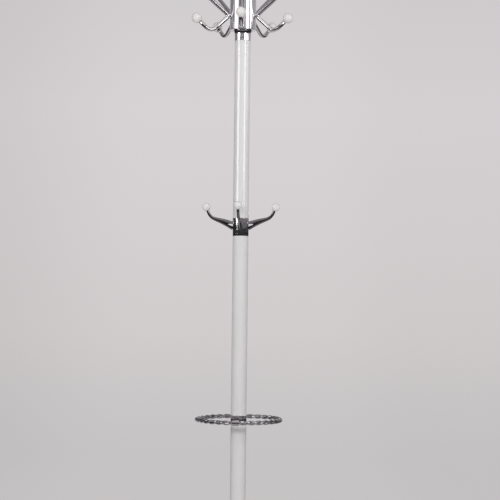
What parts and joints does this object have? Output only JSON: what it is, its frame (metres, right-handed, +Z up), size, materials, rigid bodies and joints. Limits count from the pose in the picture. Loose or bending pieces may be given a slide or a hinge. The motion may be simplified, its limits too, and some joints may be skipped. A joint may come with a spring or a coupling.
{
  "type": "coat rack",
  "caption": "Standing coat rack with a white pole, chrome hooks with white balls, a twisted umbrella ring and a dished round foot.",
  "frame": {"origin": "on the floor, under the axis of the pole", "axes": "+Z up along the pole, -Y towards the front, +X to the right"},
  "size_m": [0.37, 0.37, 1.7261],
  "materials": {
    "chrome": "polished chrome plate",
    "white_lacquer": "smooth white lacquer with a soft gloss",
    "white_knob": "glossy white balls",
    "bare_steel": "zinc-plated steel, out of sight",
    "black_rubber": "matt black rubber"
  },
  "bodies": {
    "root": {"foot": "white_lacquer", "floor_pads": "black_rubber", "foot_bolt": "bare_steel", "foot_washer": "bare_steel", "foot_plug": "bare_steel", "foot_collar": "chrome", "pole_lower": "white_lacquer", "ring_collar": "chrome", "ring_joiner": "bare_steel", "umbrella_ring": "chrome", "ring_sleeves": "chrome", "ring_spokes": "chrome", "spoke_nuts": "bare_steel", "pole_middle": "white_lacquer", "middle_collar": "chrome", "middle_joiner": "bare_steel", "middle_hook_1": "chrome", "middle_hook_2": "chrome", "middle_hook_3": "chrome", "middle_hook_4": "chrome", "middle_knob_1": "white_knob", "middle_knob_2": "white_knob", "middle_knob_3": "white_knob", "middle_knob_4": "white_knob", "pole_upper": "white_lacquer", "neck_collar": "chrome", "neck_screw": "chrome", "hub_spigot": "bare_steel", "hub_floor": "chrome", "hub_shell": "chrome", "hub_cap": "chrome", "hook_screws": "bare_steel", "top_hook_1": "chrome", "top_hook_2": "chrome", "top_hook_3": "chrome", "top_hook_4": "chrome", "top_hook_5": "chrome", "coat_knob_1": "white_knob", "coat_knob_2": "white_knob", "coat_knob_3": "white_knob", "coat_knob_4": "white_knob", "coat_knob_5": "white_knob", "hat_knob_1": "white_knob", "hat_knob_2": "white_knob", "hat_knob_3": "white_knob", "hat_knob_4": "white_knob", "hat_knob_5": "white_knob"}
  },
  "joints": []
}
